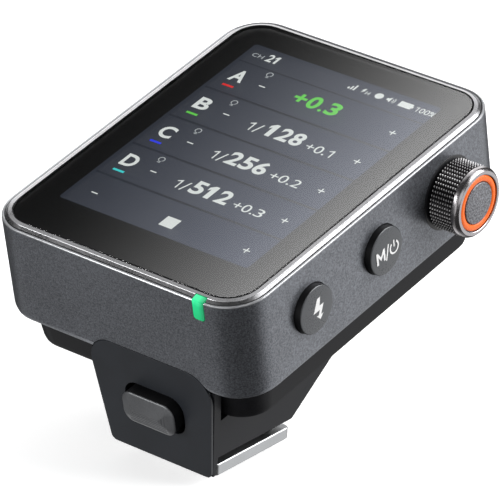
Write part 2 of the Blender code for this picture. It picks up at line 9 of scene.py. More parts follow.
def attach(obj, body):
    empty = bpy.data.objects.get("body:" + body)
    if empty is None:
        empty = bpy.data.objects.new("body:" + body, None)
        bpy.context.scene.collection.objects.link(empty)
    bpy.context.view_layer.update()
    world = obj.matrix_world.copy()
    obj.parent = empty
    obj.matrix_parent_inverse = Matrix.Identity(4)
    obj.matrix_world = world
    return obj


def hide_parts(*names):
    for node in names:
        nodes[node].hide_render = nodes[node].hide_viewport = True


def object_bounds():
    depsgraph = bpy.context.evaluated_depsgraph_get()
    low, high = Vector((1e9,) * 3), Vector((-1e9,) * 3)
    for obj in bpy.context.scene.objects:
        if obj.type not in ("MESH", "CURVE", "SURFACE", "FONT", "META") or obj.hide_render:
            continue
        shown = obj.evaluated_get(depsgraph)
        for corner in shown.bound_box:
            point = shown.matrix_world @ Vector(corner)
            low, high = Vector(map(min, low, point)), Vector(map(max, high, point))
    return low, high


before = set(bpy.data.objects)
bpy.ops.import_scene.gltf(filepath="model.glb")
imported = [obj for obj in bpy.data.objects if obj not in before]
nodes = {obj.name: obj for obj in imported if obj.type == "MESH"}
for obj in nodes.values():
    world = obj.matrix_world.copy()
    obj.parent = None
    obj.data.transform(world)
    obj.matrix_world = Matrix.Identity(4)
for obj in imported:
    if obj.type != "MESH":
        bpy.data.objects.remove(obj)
bpy.context.scene.view_settings.view_transform = 'Standard'
B_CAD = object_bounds()

# ---------------------------------------------------------------- the light
AMBIENT = 0.05
CARD_GLOW, CARD_POWER = 3.75, 2.8
# soft patches of the studio: direction, cosine where a patch starts, where it is full, strength
WORLD = (((0.50, 0.45, 0.74), 0.90, 0.97, 2.0), ((-0.20, 0.43, 0.88), 0.93, 0.985, 1.2),
         ((-0.57, 0.05, 0.82), 0.93, 0.985, 0.75), ((-0.57, -0.82, 0.00), 0.955, 0.99, 1.1),
         ((0.77, 0.58, 0.26), 0.92, 0.98, 1.6), ((-0.64, 0.68, 0.36), 0.84, 0.96, 1.8),
         ((0.50, 0.70, -0.52), 0.80, 0.98, 1.02), ((-0.55, -0.46, -0.70), 0.82, 0.97, 0.26),
         ((-0.50, 0.10, -0.86), 0.93, 0.985, 0.9), ((0.80, -0.50, 0.27), 0.92, 0.985, 1.2),
         ((-0.10, 0.20, -0.97), 0.93, 0.985, 0.6), ((0.10, -0.90, -0.05), 0.84, 0.96, 1.0))
LIGHTS = (("soft_right", (0.70, 0.58, 0.42), 0.80, (0.65, 0.65), 7.0), ("soft_left", (-0.45, -0.86, 0.20), 0.80, (0.36, 0.36), 3.6))

MM = 0.001
HALF, CASE_L, CASE_R = 24.25, 63.83, 6.58
TILT = math.radians(13.3)
SHOE_OFF, BODY_Y, BODY_Z = 5.34, -17.57, 32.40
# body millimetres -> row metres
BODY = (Matrix.Translation(Vector((-SHOE_OFF, BODY_Y, BODY_Z)) * MM) @ Matrix.Rotation(TILT, 4, 'X')
        @ Matrix.Scale(MM, 4))
ROWMM = Matrix.Scale(MM, 4)


# =============================================================== shader tools
def new_mat(name, base, rough, metal=0.0, coat=0.0, coat_rough=0.1, spec=0.5):
    m = bpy.data.materials.new(name)
    m.use_nodes = True
    nt = m.node_tree
    b = nt.nodes["Principled BSDF"]
    b.inputs["Base Color"].default_value = (*base, 1)
    b.inputs["Roughness"].default_value = rough
    b.inputs["Metallic"].default_value = metal
    b.inputs["Coat Weight"].default_value = coat
    b.inputs["Coat Roughness"].default_value = coat_rough
    b.inputs["Specular IOR Level"].default_value = spec
    return m, nt, b


def node(nt, kind, **kw):
    n = nt.nodes.new(kind)
    for k, v in kw.items():
        if hasattr(n, k):
            setattr(n, k, v)
        else:
            n.inputs[k].default_value = v
    return n


def link(nt, a, b):
    nt.links.new(a, b)


def coords(nt, scale=(1, 1, 1)):
    tc = nt.nodes.new("ShaderNodeTexCoord")
    mp = nt.nodes.new("ShaderNodeMapping")
    mp.inputs["Scale"].default_value = scale
    link(nt, tc.outputs["Object"], mp.inputs["Vector"])
    return mp.outputs["Vector"]


def noise(nt, vec, scale, detail=2.0, rough=0.5, kind='FBM'):
    n = nt.nodes.new("ShaderNodeTexNoise")
    n.inputs["Scale"].default_value = scale
    n.inputs["Detail"].default_value = detail
    n.inputs["Roughness"].default_value = rough
    link(nt, vec, n.inputs["Vector"])
    return n.outputs["Fac"]


def ramp(nt, fac, stops):
    r = nt.nodes.new("ShaderNodeValToRGB")
    cr = r.color_ramp
    while len(cr.elements) < len(stops):
        cr.elements.new(0.5)
    for e, (p, c) in zip(cr.elements, stops):
        e.position = p
        e.color = (*c, 1) if len(c) == 3 else c
    link(nt, fac, r.inputs["Fac"])
    return r.outputs["Color"]


def span(nt, fac, lo, hi, to0=0.0, to1=1.0):
    n = nt.nodes.new("ShaderNodeMapRange")
    n.inputs["From Min"].default_value = lo
    n.inputs["From Max"].default_value = hi
    n.inputs["To Min"].default_value = to0
    n.inputs["To Max"].default_value = to1
    link(nt, fac, n.inputs["Value"])
    return n.outputs["Result"]


def bump(nt, b, height, strength, dist, target="Normal"):
    n = nt.nodes.new("ShaderNodeBump")
    n.inputs["Strength"].default_value = strength
    n.inputs["Distance"].default_value = dist
    link(nt, height, n.inputs["Height"])
    link(nt, n.outputs["Normal"], b.inputs[target])
    return n


def textured(name, base, rough, metal=0.0, grain=9000.0, vary=0.10, rvary=0.06, depth=0.00001, strength=0.2,
             coat=0.0, coat_rough=0.1, spec=0.5, wear=180.0, lo_at=0.55, hi_at=1.25, mottle=1.0):
    """A finish with fine grain in colour, gloss and height over a slow mottle."""
    m, nt, b = new_mat(name, base, rough, metal, coat, coat_rough, spec)
    v = coords(nt)
    fine = noise(nt, v, grain, 2.0, 0.6)
    slow = noise(nt, v, wear, 3.0, 0.5)
    both = nt.nodes.new("ShaderNodeMath")
    both.operation = 'MULTIPLY_ADD'
    link(nt, fine, both.inputs[0])
    both.inputs[1].default_value = 0.8
    sm = nt.nodes.new("ShaderNodeMath")
    sm.operation = 'MULTIPLY'
    link(nt, slow, sm.inputs[0])
    sm.inputs[1].default_value = mottle
    link(nt, sm.outputs[0], both.inputs[2])
    lo = tuple(max(c * (1 - vary), 0) for c in base)
    hi = tuple(min(c * (1 + vary), 1) for c in base)
    link(nt, ramp(nt, span(nt, both.outputs[0], lo_at, hi_at), [(0.0, lo), (1.0, hi)]), b.inputs["Base Color"])
    link(nt, span(nt, both.outputs[0], lo_at, hi_at, max(rough - rvary, 0.02), min(rough + rvary, 1.0)),
         b.inputs["Roughness"])
    bump(nt, b, fine, strength, depth)
    return m


# ================================================================= materials
M = {}
M["case"] = textured("case_paint_fine", (0.158, 0.166, 0.184), 0.31, 0.68, grain=4100, vary=0.40, rvary=0.03,
                     depth=0.00004, strength=0.20, wear=60.0, lo_at=0.36, hi_at=0.64, mottle=0.2)
# the case's rim is mixed to a lighter grey along its top third of a millimetre: a painted highlight
nt = M["case"].node_tree
b = nt.nodes["Principled BSDF"]
paint = b.inputs["Base Color"].links[0].from_socket
rel = nt.nodes.new("ShaderNodeVectorMath")
rel.operation = 'SUBTRACT'
link(nt, coords(nt), rel.inputs[0])
rel.inputs[1].default_value = BODY @ Vector((0, 0, 0))
up = nt.nodes.new("ShaderNodeVectorMath")
up.operation = 'DOT_PRODUCT'
link(nt, rel.outputs[0], up.inputs[0])
up.inputs[1].default_value = (BODY.to_3x3() @ Vector((0, 0, 1))).normalized()
mx = nt.nodes.new("ShaderNodeMix")
mx.data_type = 'RGBA'
link(nt, span(nt, up.outputs["Value"], -0.00032, -0.00018), mx.inputs["Factor"])
link(nt, paint, mx.inputs["A"])
# painted highlight colour along the top of the rim
mx.inputs["B"].default_value = (0.52, 0.53, 0.55, 1)
link(nt, mx.outputs["Result"], b.inputs["Base Color"])
M["bezel"] = textured("bezel_satin", (0.37, 0.37, 0.38), 0.29, 1.0, grain=3800, vary=0.22, depth=0.00003, strength=0.3)
M["base"] = textured("base_black", (0.010, 0.010, 0.0115), 0.42, 0.0, grain=3600, vary=0.5, strength=0.3, spec=0.08)
M["plate"] = textured("plate_satin", (0.017, 0.0195, 0.0245), 0.40, 0.0, grain=4200, vary=0.2, strength=0.15, spec=0.35)
M["block"] = textured("block_satin", (0.014, 0.0145, 0.017), 0.42, 0.0, grain=4200, vary=0.3, strength=0.2, spec=0.12)
M["key"] = textured("key_grey", (0.075, 0.079, 0.085), 0.30, 0.35, grain=5200, vary=0.15, strength=0.12, spec=0.5)
M["skirt"] = textured("key_skirt_black", (0.008, 0.008, 0.009), 0.42, 0.0, grain=5200, vary=0.15, strength=0.10, spec=0.3)
M["release"] = textured("release_grey", (0.105, 0.108, 0.114), 0.36, 0.3, grain=4600, vary=0.25, strength=0.25)
M["dial_cap"] = textured("dial_cap_cast", (0.170, 0.172, 0.186), 0.40, 0.6, grain=3300, vary=0.75, strength=0.5,
                         depth=0.00008, lo_at=0.36, hi_at=0.64, mottle=0.2)
M["orange"] = textured("dial_orange", (0.95, 0.155, 0.014), 0.26, 0.0, grain=6000, vary=0.05, strength=0.05, spec=0.35)
M["collar"] = textured("collar_black", (0.012, 0.012, 0.014), 0.42, 0.0, grain=4000)
M["foot"] = textured("foot_satin_metal", (0.46, 0.47, 0.48), 0.36, 1.0, grain=4200, vary=0.10, depth=0.00002, strength=0.22)
M["gold"] = textured("contact_gold", (0.83, 0.62, 0.28), 0.2, 1.0, grain=8000, vary=0.05, strength=0.05)
M["steel"] = textured("inner_steel", (0.55, 0.55, 0.54), 0.32, 1.0, grain=5000, vary=0.08, strength=0.1)
M["screw"] = textured("screw_black", (0.10, 0.10, 0.105), 0.3, 1.0, grain=6000, vary=0.1, strength=0.08)
M["board"] = textured("board_green", (0.02, 0.10, 0.055), 0.4, 0.0, grain=1600, vary=0.25)
M["cell"] = textured("battery_wrap", (0.16, 0.17, 0.19), 0.4, 0.2, grain=900, vary=0.1)
M["black"] = textured("insulator_black", (0.02, 0.02, 0.021), 0.5, 0.0, grain=4000, vary=0.15)
M["flex"] = textured("flex_amber", (0.42, 0.17, 0.03), 0.4, 0.0, grain=3000)
M["lens"] = textured("led_lens", (0.75, 0.80, 0.72), 0.2, 0.0, grain=3000)

# dial metal: near-white on the knurl's tips as a painted highlight, near-black down in its valleys as painted shade
DIAL_AT = BODY @ Vector((HALF, 49.05, -8.0))
m, nt, b = new_mat("dial_dark_chrome", (0.30, 0.295, 0.30), 0.26, 0.45)
v = coords(nt)
sub = nt.nodes.new("ShaderNodeVectorMath")
sub.operation = 'SUBTRACT'
link(nt, v, sub.inputs[0])
sub.inputs[1].default_value = DIAL_AT
crs = nt.nodes.new("ShaderNodeVectorMath")
crs.operation = 'CROSS_PRODUCT'
link(nt, sub.outputs[0], crs.inputs[0])
crs.inputs[1].default_value = (1, 0, 0)
ln = nt.nodes.new("ShaderNodeVectorMath")
ln.operation = 'LENGTH'
link(nt, crs.outputs[0], ln.inputs[0])
# colour by distance from the dial's axis: painted shade at the root, painted highlight at the tips
link(nt, ramp(nt, span(nt, ln.outputs["Value"], 0.00520, 0.00560), [(0.0, (0.010, 0.010, 0.011)), (0.42, (0.04, 0.038, 0.04)),
                                                                    (0.62, (0.45, 0.44, 0.45)), (0.80, (0.95, 0.93, 0.94))]),
     b.inputs["Base Color"])
fine = noise(nt, v, 6000.0, 2.0, 0.6)
link(nt, span(nt, fine, 0.3, 0.7, 0.17, 0.28), b.inputs["Roughness"])
bump(nt, b, fine, 0.08, 0.00001)
M["dial"] = m
M["dial_rim"] = textured("dial_rim_satin", (0.42, 0.40, 0.41), 0.25, 1.0, grain=5200, vary=0.12, strength=0.15)

# light pipe: bright green, lit from inside, a little brighter towards the lamp
m, nt, b = new_mat("light_pipe_green", (0.005, 0.28, 0.11), 0.16, 0.0, coat=0.25)
v = coords(nt)
glow = noise(nt, v, 900.0, 2.0)
sep = nt.nodes.new("ShaderNodeSeparateXYZ")
link(nt, v, sep.inputs[0])
high = span(nt, sep.outputs["Z"], 0.0288, 0.0328)
mixed = nt.nodes.new("ShaderNodeMath")
mixed.operation = 'MULTIPLY_ADD'
link(nt, glow, mixed.inputs[0])
mixed.inputs[1].default_value = 0.25
link(nt, high, mixed.inputs[2])
link(nt, ramp(nt, mixed.outputs[0], [(0.05, (0.030, 0.36, 0.17)), (0.28, (0.002, 0.34, 0.105)), (0.80, (0.004, 0.46, 0.17)),
                                     (1.0, (0.045, 0.74, 0.30))]), b.inputs["Emission Color"])
# emission strength falls from the pipe's left edge to its right: painted shade on the right side
link(nt, ramp(nt, span(nt, sep.outputs["X"], 0.01016, 0.01216), [(0.0, (1.15, 1.15, 1.15)), (0.55, (0.95, 0.95, 0.95)),
                                                                 (0.90, (0.42, 0.42, 0.42)), (1.0, (0.30, 0.30, 0.30))]),
     b.inputs["Emission Strength"])
bump(nt, b, glow, 0.1, 0.00002)
M["pipe"] = m

# panel behind the glass: dark slate, a little lighter towards the middle
m, nt, b = new_mat("screen_panel", (0.004, 0.004, 0.005), 0.5)
v = coords(nt)
b.inputs["Emission Strength"].default_value = 1.0
sp = nt.nodes.new("ShaderNodeSeparateXYZ")
link(nt, v, sp.inputs[0])
across = nt.nodes.new("ShaderNodeMath")
across.operation = 'MULTIPLY_ADD'
link(nt, noise(nt, v, 30.0, 1.0), across.inputs[0])
across.inputs[1].default_value = 0.12
link(nt, span(nt, sp.outputs["X"], -0.0250, 0.0125), across.inputs[2])
link(nt, ramp(nt, across.outputs[0], [(0.0, (0.0265, 0.0300, 0.0390)), (0.5, (0.0450, 0.0515, 0.0700)), (1.0, (0.0200, 0.0320, 0.0680))]),
     b.inputs["Emission Color"])
M["panel"] = m


def ink(name, rgb, strength=1.0):
    """Something the screen shows: a flat glow with the faint grid of the pixels in it."""
    m, nt, b = new_mat("ui_" + name, (0.0, 0.0, 0.0), 0.6)
    b.inputs["Emission Strength"].default_value = strength
    g = noise(nt, coords(nt), 5200.0, 1.0)
    link(nt, ramp(nt, g, [(0.25, tuple(c * 0.93 for c in rgb)), (0.75, rgb)]), b.inputs["Emission Color"])
    return m


M["ui_white"] = ink("white", (0.70, 0.74, 0.72))
M["ui_dim"] = ink("dim", (0.42, 0.45, 0.46))
m, nt, b = new_mat("ui_card", (0.0, 0.0, 0.0), 0.6)
b.inputs["Emission Strength"].default_value = 1.0
v = coords(nt)
sp = nt.nodes.new("ShaderNodeSeparateXYZ")
link(nt, v, sp.inputs[0])
across = nt.nodes.new("ShaderNodeMath")
across.operation = 'MULTIPLY_ADD'
link(nt, noise(nt, v, 5200.0, 1.0), across.inputs[0])
across.inputs[1].default_value = 0.05
link(nt, span(nt, sp.outputs["X"], -0.0250, 0.0125), across.inputs[2])
link(nt, ramp(nt, across.outputs[0], [(0.0, (0.0290, 0.0330, 0.0430)), (0.5, (0.0490, 0.0560, 0.0760)), (1.0, (0.0240, 0.0370, 0.0750))]),
     b.inputs["Emission Color"])
M["ui_card"] = m
M["ui_seam"] = ink("seam", (0.0210, 0.0245, 0.0340))
M["ui_green"] = ink("green", (0.13, 0.62, 0.08))
M["ui_red"] = ink("red", (0.70, 0.02, 0.02))
M["ui_g2"] = ink("g2", (0.12, 0.60, 0.07))
M["ui_blue"] = ink("blue", (0.03, 0.05, 0.80))
M["ui_cyan"] = ink("cyan", (0.05, 0.62, 0.62))
M["print"] = textured("printed_white", (0.80, 0.80, 0.80), 0.5, 0.0, grain=4000, vary=0.04, strength=0.05)

# cover glass: black behind the border, clear over the screen, one polished top
WIN = (-17.95, 17.75, 9.95, 57.3)
m = bpy.data.materials.new("cover_glass_clear")
m.use_nodes = True
nt = m.node_tree
nt.nodes.remove(nt.nodes["Principled BSDF"])
out = nt.nodes["Material Output"]
gloss = nt.nodes.new("ShaderNodeBsdfGlossy")
gloss.inputs["Roughness"].default_value = 0.025
gloss.inputs["Color"].default_value = (1, 1, 1, 1)
v = coords(nt)
smear = noise(nt, v, 60.0, 4.0, 0.6)
link(nt, span(nt, smear, 0.3, 0.7, 0.015, 0.035), gloss.inputs["Roughness"])
clear = nt.nodes.new("ShaderNodeBsdfTransparent")
fres = nt.nodes.new("ShaderNodeFresnel")
fres.inputs["IOR"].default_value = 1.5
mix = nt.nodes.new("ShaderNodeMixShader")
link(nt, fres.outputs[0], mix.inputs["Fac"])
link(nt, clear.outputs[0], mix.inputs[1])
link(nt, gloss.outputs[0], mix.inputs[2])
link(nt, mix.outputs[0], out.inputs["Surface"])
M["glass"] = m
M["mask"] = textured("glass_back_print", (0.006, 0.0065, 0.008), 0.5, 0.0, grain=3000, vary=0.1, strength=0.05)
m = bpy.data.materials.new("glass_underside")
m.use_nodes = True
nt = m.node_tree
nt.nodes.remove(nt.nodes["Principled BSDF"])
clear = nt.nodes.new("ShaderNodeBsdfTransparent")
link(nt, ramp(nt, noise(nt, coords(nt), 400.0), [(0.0, (0.985, 0.985, 0.985)), (1.0, (1, 1, 1))]), clear.inputs["Color"])
link(nt, clear.outputs[0], nt.nodes["Material Output"].inputs["Surface"])
M["under"] = m

LOOK = {
    "upper_case": "case", "bezel_ring": "bezel", "display_panel": "panel", "base_cover": "base", "front_plate": "plate",
    "shoe_block": "block", "test_button": "key", "menu_button": "key", "release_button": "release", "dial_body": "dial",
    "dial_centre_cap": "dial_cap", "dial_accent_ring": "orange", "dial_collar": "collar", "shoe_foot": "foot",
    "status_light_pipe": "pipe", "mid_frame": "steel", "radio_module": "steel", "processor_shield": "steel",
    "encoder_body": "steel", "usb_c_receptacle": "steel", "release_spring": "steel", "lock_pin": "steel",
    "lock_pin_spring": "steel", "dial_shaft": "steel", "main_board": "board", "contact_board": "board",
    "battery_pack": "cell", "antenna_flex": "flex", "status_led": "lens", "cover_glass": "mask",
}
for name, ob in nodes.items():
    key = LOOK.get(name)
    if key is None:
        key = "screw" if "screw" in name else "gold" if "contact_pin" in name else "black"
    ob.data.materials.clear()
    ob.data.materials.append(M[key])


def soft_shading(angle):
    """Node group: one surface shaded smooth, with creases only where faces meet at more than angle."""
    g = bpy.data.node_groups.new("creases_%d" % angle, 'GeometryNodeTree')
    g.interface.new_socket("Geometry", in_out='INPUT', socket_type='NodeSocketGeometry')
    g.interface.new_socket("Geometry", in_out='OUTPUT', socket_type='NodeSocketGeometry')
    gi, go = g.nodes.new("NodeGroupInput"), g.nodes.new("NodeGroupOutput")
    drop = g.nodes.new("GeometryNodeRemoveAttribute")
    drop.inputs["Name"].default_value = "custom_normal"
    weld = g.nodes.new("GeometryNodeMergeByDistance")
    weld.inputs["Distance"].default_value = 1e-6
    fs = g.nodes.new("GeometryNodeSetShadeSmooth")
    fs.domain = 'FACE'
    fs.inputs["Shade Smooth"].default_value = True
    es = g.nodes.new("GeometryNodeSetShadeSmooth")
    es.domain = 'EDGE'
    es.inputs["Shade Smooth"].default_value = True
    ea = g.nodes.new("GeometryNodeInputMeshEdgeAngle")
    cp = g.nodes.new("FunctionNodeCompare")
    cp.data_type = 'FLOAT'
    cp.operation = 'GREATER_THAN'
    cp.inputs[1].default_value = math.radians(angle)
    hs = g.nodes.new("GeometryNodeSetShadeSmooth")
    hs.domain = 'EDGE'
    hs.inputs["Shade Smooth"].default_value = False
    g.links.new(gi.outputs[0], drop.inputs["Geometry"])
    g.links.new(drop.outputs["Geometry"], weld.inputs["Geometry"])
    g.links.new(weld.outputs["Geometry"], fs.inputs["Geometry"])
    g.links.new(fs.outputs["Geometry"], es.inputs["Geometry"])
    g.links.new(es.outputs["Geometry"], hs.inputs["Geometry"])
    g.links.new(ea.outputs["Unsigned Angle"], cp.inputs[0])
    g.links.new(cp.outputs["Result"], hs.inputs["Selection"])
    g.links.new(hs.outputs["Geometry"], go.inputs[0])
    return g


CREASE = {"bezel_ring": 17}
BROKEN = {"front_plate": 0.13, "base_cover": 0.15, "shoe_block": 0.15, "shoe_foot": 0.14, "upper_case": 0.10,
          "status_light_pipe": 0.10}
groups = {a: soft_shading(a) for a in (17, 28)}
for name, ob in nodes.items():
    md = ob.modifiers.new("creases", 'NODES')
    md.node_group = groups[CREASE.get(name, 28)]
    if name in BROKEN:
        bv = ob.modifiers.new("broken_edges", 'BEVEL')
        bv.width = BROKEN[name] * MM
        bv.segments = 2
        bv.limit_method = 'ANGLE'
        bv.angle_limit = math.radians(40)
        bv.use_clamp_overlap = True
    wn = ob.modifiers.new("face_weighted", 'WEIGHTED_NORMAL')
    wn.mode = 'FACE_AREA'
    wn.keep_sharp = True


# ============================================================= mesh helpers
def rounded(x0, x1, y0, y1, r, n=16):
    r = max(min(r, (x1 - x0) / 2 - 1e-4, (y1 - y0) / 2 - 1e-4), 1e-3)
    pts = []
    for cx, cy, a0 in ((x1 - r, y0 + r, -90), (x1 - r, y1 - r, 0), (x0 + r, y1 - r, 90), (x0 + r, y0 + r, 180)):
        for i in range(n + 1):
            a = math.radians(a0 + 90 * i / n)
            pts.append((cx + r * math.cos(a), cy + r * math.sin(a)))
    return pts


def loft(loops, closed=False):
    bm = bmesh.new()
    rings = [[bm.verts.new(p) for p in loop] for loop in loops]
    n = len(rings[0])
    pairs = list(zip(rings, rings[1:]))
    if closed:
        pairs.append((rings[-1], rings[0]))
    for a, b in pairs:
        for i in range(n):
            bm.faces.new((a[i], a[(i + 1) % n], b[(i + 1) % n], b[i]))
    if not closed:
        bm.faces.new(rings[0])
        bm.faces.new(list(reversed(rings[-1])))
    return bm


def case_loop(d, w, dfront=None, dback=None, r=None, n=24):
    df = d if dfront is None else dfront
    db = d if dback is None else dback
    rr = (CASE_R - d) if r is None else r
    return [(x, y, w) for x, y in rounded(-HALF + d, HALF - d, df, CASE_L - db, rr, n)]


def add(name, bm, mat, mx, ride_on, smooth=30, replaces=None, recalc=True):
    if recalc:
        bmesh.ops.recalc_face_normals(bm, faces=bm.faces)
    bm.transform(mx)
    me = bpy.data.meshes.new(name)
    bm.to_mesh(me)
    bm.free()
    me.shade_smooth()
    me.set_sharp_from_angle(angle=math.radians(smooth))
    for k in (mat if isinstance(mat, (list, tuple)) else [mat]):
        me.materials.append(k)
    ob = bpy.data.objects.new(name, me)
    bpy.context.collection.objects.link(ob)
    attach(ob, ride_on)
    if replaces:
        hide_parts(*([replaces] if isinstance(replaces, str) else replaces))
    return ob


def flat(name, polys, mat, place, ride_on):
    """Flat filled shapes, each a list of (a, b) points, put in place by place(a, b)."""
    bm = bmesh.new()
    for poly in polys:
        vs = [bm.verts.new(place(a, b)) for a, b in poly]
        bm.faces.new(vs)
    return add(name, bm, mat, Matrix.Identity(4), ride_on, recalc=False)


def screen_at(w):
    return lambda u, v: BODY @ Vector((u, v, w))


def bar(x0, x1, y0, y1):
    return [(x0, y0), (x1, y0), (x1, y1), (x0, y1)]


def disc(cx, cy, r, n=28):
    return [(cx + r * math.cos(2 * math.pi * k / n), cy + r * math.sin(2 * math.pi * k / n)) for k in range(n)]


def arc_band(cx, cy, r0, r1, a0, a1, n=24):
    """Quads of a ring segment, angles in degrees."""
    out = []
    for k in range(n):
        p, q = (math.radians(a0 + (a1 - a0) * t / n) for t in (k, k + 1))
        out.append([(cx + r0 * math.cos(p), cy + r0 * math.sin(p)), (cx + r1 * math.cos(p), cy + r1 * math.sin(p)),
                    (cx + r1 * math.cos(q), cy + r1 * math.sin(q)), (cx + r0 * math.cos(q), cy + r0 * math.sin(q))])
    return out


def lettering(name, text, x0, x1, y0, h, mat, place, ride_on, bold=0.0):
    """Lettering as a flat mesh: left and right edge x0..x1, foot y0, height h."""
    cu = bpy.data.curves.new(name, 'FONT')
    cu.body = text
    cu.size = 1.0
    cu.offset = bold
    cu.resolution_u = 6
    ob = bpy.data.objects.new(name + "_tmp", cu)
    bpy.context.collection.objects.link(ob)
    bpy.context.view_layer.update()
    me = bpy.data.meshes.new_from_object(ob.evaluated_get(bpy.context.evaluated_depsgraph_get()))
    bpy.data.objects.remove(ob)
    co = np.array([v.co[:2] for v in me.vertices])
    lo, hi = co.min(0), co.max(0)
    for v in me.vertices:
        a = x0 + (v.co.x - lo[0]) / (hi[0] - lo[0]) * (x1 - x0)
        b = y0 + (v.co.y - lo[1]) / (hi[1] - lo[1]) * h
        v.co = place(a, b)
    me.name = name
    me.materials.clear()
    me.materials.append(mat)
    ob = bpy.data.objects.new(name, me)
    bpy.context.collection.objects.link(ob)
    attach(ob, ride_on)
    return ob


def figures(name, text, x0, x1, y0, h, mat, place, ride_on, bold=0.0):
    """A row of figures on equal cells; the one is drawn with a flag, the rest come from the built-in face."""
    adv = {'+': 0.84, '.': 0.36, '/': 0.56}
    box = {'+': (0.07, 0.77, 0.16, 0.84), '.': (0.08, 0.27, 0.0, 0.19), '/': (0.02, 0.52, -0.06, 1.0), '1': (0.06, 0.52, 0, 1)}
    total_w = sum(adv.get(c, 0.76) for c in text)
    k = (x1 - x0) / total_w
    at = x0
    for i, c in enumerate(text):
        a0, a1, b0, b1 = box.get(c, (0.04, 0.72, -0.01, 1.01))
        if c == '1':
            t = 0.19 + 3.0 * bold if bold else 0.115
            shape = [(0.50, 0.0), (0.50, 1.0), (0.50 - 0.72 * t, 1.0), (0.07, 0.80), (0.07, 0.80 - 0.85 * t), (0.50 - t, 0.86 - 0.55 * t),
                     (0.50 - t, 0.0)]
            flat("%s_%d" % (name, i), [[(at + a * k, y0 + b * h) for a, b in shape]], mat, place, ride_on)
        else:
            lettering("%s_%d" % (name, i), c, at + a0 * k, at + a1 * k, y0 + b0 * h, (b1 - b0) * h, mat, place, ride_on, bold)
        at += adv.get(c, 0.76) * k


# ================================================================ the screen
SC = screen_at(-0.455)
SC2 = screen_at(-0.435)
SC3 = screen_at(-0.415)
flat("screen_cards", [[(x, y) for x, y in rounded(-17.2, 17.1, v0, v1, 0.45, 6)]
                      for v0, v1 in ((45.1, 52.9), (36.35, 44.4), (27.6, 35.6), (18.85, 26.9))],
     M["ui_card"], SC2, "chassis")
lettering("screen_ch", "CH", -17.08, -15.0, 54.90, 0.92, M["ui_dim"], SC3, "chassis", 0.0)
figures("screen_ch_number", "21", -14.5, -12.0, 54.78, 1.90, M["ui_white"], SC3, "chassis", 0.02)
for k, (ch, value, x0, comp, cx1, line) in enumerate((("A", None, 0, None, 0, "ui_red"), ("B", "128", -2.54, "+0.1", 10.58, "ui_g2"),
                                                     ("C", "256", -2.92, "+0.2", 10.83, "ui_blue"),
                                                     ("D", "512", -2.83, "+0.3", 10.75, "ui_cyan"))):
    dv = -8.75 * k
    lettering("screen_row_" + ch, ch, -16.33, -13.78, 47.92 + dv, 3.04, M["ui_white"], SC3, "chassis", 0.03)
    flat("screen_row_line_" + ch, [bar(-16.04, -13.96, 46.29 + dv, 46.75 + dv)], M[line], SC3, "chassis")
    bulb = arc_band(-11.17, 52.10 + dv, 0.42, 0.58, -60, 240, 26) + [bar(-11.45, -10.89, 51.18 + dv, 51.32 + dv),
                                                                   bar(-11.40, -10.94, 51.42 + dv, 51.60 + dv)]
    flat("screen_bulb_" + ch, bulb, M["ui_dim"], SC3, "chassis")
    flat("screen_minus_" + ch, [bar(-10.79, -9.64, 48.80 + dv, 49.03 + dv)], M["ui_white"], SC3, "chassis")
    flat("screen_plus_" + ch, [bar(14.08, 15.32, 48.81 + dv, 49.02 + dv), bar(14.6, 14.8, 49.02 + dv, 49.53 + dv),
                               bar(14.6, 14.8, 48.30 + dv, 48.81 + dv)], M["ui_white"], SC3, "chassis")
    if value:
        figures("screen_one_over_" + ch, "1/", -5.67, -3.05, 38.60 + dv + 8.75, 2.15, M["ui_white"], SC3, "chassis", 0.0)
        figures("screen_value_" + ch, value, x0, 4.58, 38.67 + dv + 8.75, 3.22, M["ui_white"], SC3, "chassis", 0.03)
        figures("screen_step_" + ch, comp, 5.36, cx1 + 0.35, 38.80 + dv + 8.75, 1.85, M["ui_white"], SC3, "chassis", 0.0)
    else:
        figures("screen_value_" + ch, "+0.3", -4.38, 4.42, 47.83, 3.16, M["ui_green"], SC3, "chassis", 0.03)
flat("screen_foot_marks", [bar(-14.96, -13.79, 13.80, 14.03), bar(-0.96, 1.54, 12.46, 14.88), bar(13.84, 15.08, 13.81, 14.02),
                           bar(14.36, 14.56, 14.02, 14.53), bar(14.36, 14.56, 13.30, 13.81)], M["ui_white"], SC3,
     "chassis")
flat("screen_seams", [bar(-17.9, 17.6, v0, v1) for v0, v1 in ((52.90, 53.20), (44.42, 44.88), (35.66, 36.12), (26.92, 27.38),
                                                              (18.35, 18.80))], M["ui_seam"], SC2, "chassis")
# small status symbols: signal bars, bolt with H, disc, loudspeaker, battery
flat("screen_status", [bar(1.35, 1.65, 55.10, 55.62), bar(1.85, 2.15, 55.10, 56.05), bar(2.35, 2.65, 55.10, 56.50)]
     + [[(4.05, 56.35), (3.70, 55.75), (4.00, 55.75), (3.80, 55.15), (4.45, 55.95), (4.15, 55.95), (4.40, 56.35)]]
     + [disc(7.0, 55.82, 0.72)]
     + [[(8.45, 55.55), (8.80, 55.55), (9.20, 55.15), (9.20, 56.50), (8.80, 56.10), (8.45, 56.10)]]
     + arc_band(9.2, 55.82, 0.38, 0.50, -50, 50, 8) + arc_band(9.2, 55.82, 0.72, 0.84, -50, 50, 10)
     + [bar(10.83, 13.15, 55.15, 56.50), bar(13.15, 13.38, 55.55, 56.10)], M["ui_white"], SC3, "chassis")
lettering("screen_h", "H", 4.65, 5.35, 55.10, 0.85, M["ui_white"], SC3, "chassis", 0.0)
figures("screen_full", "100", 13.75, 16.45, 55.18, 1.24, M["ui_white"], SC3, "chassis", 0.0)
lettering("screen_percent", "%", 16.45, 17.55, 55.18, 1.24, M["ui_white"], SC3, "chassis", 0.01)

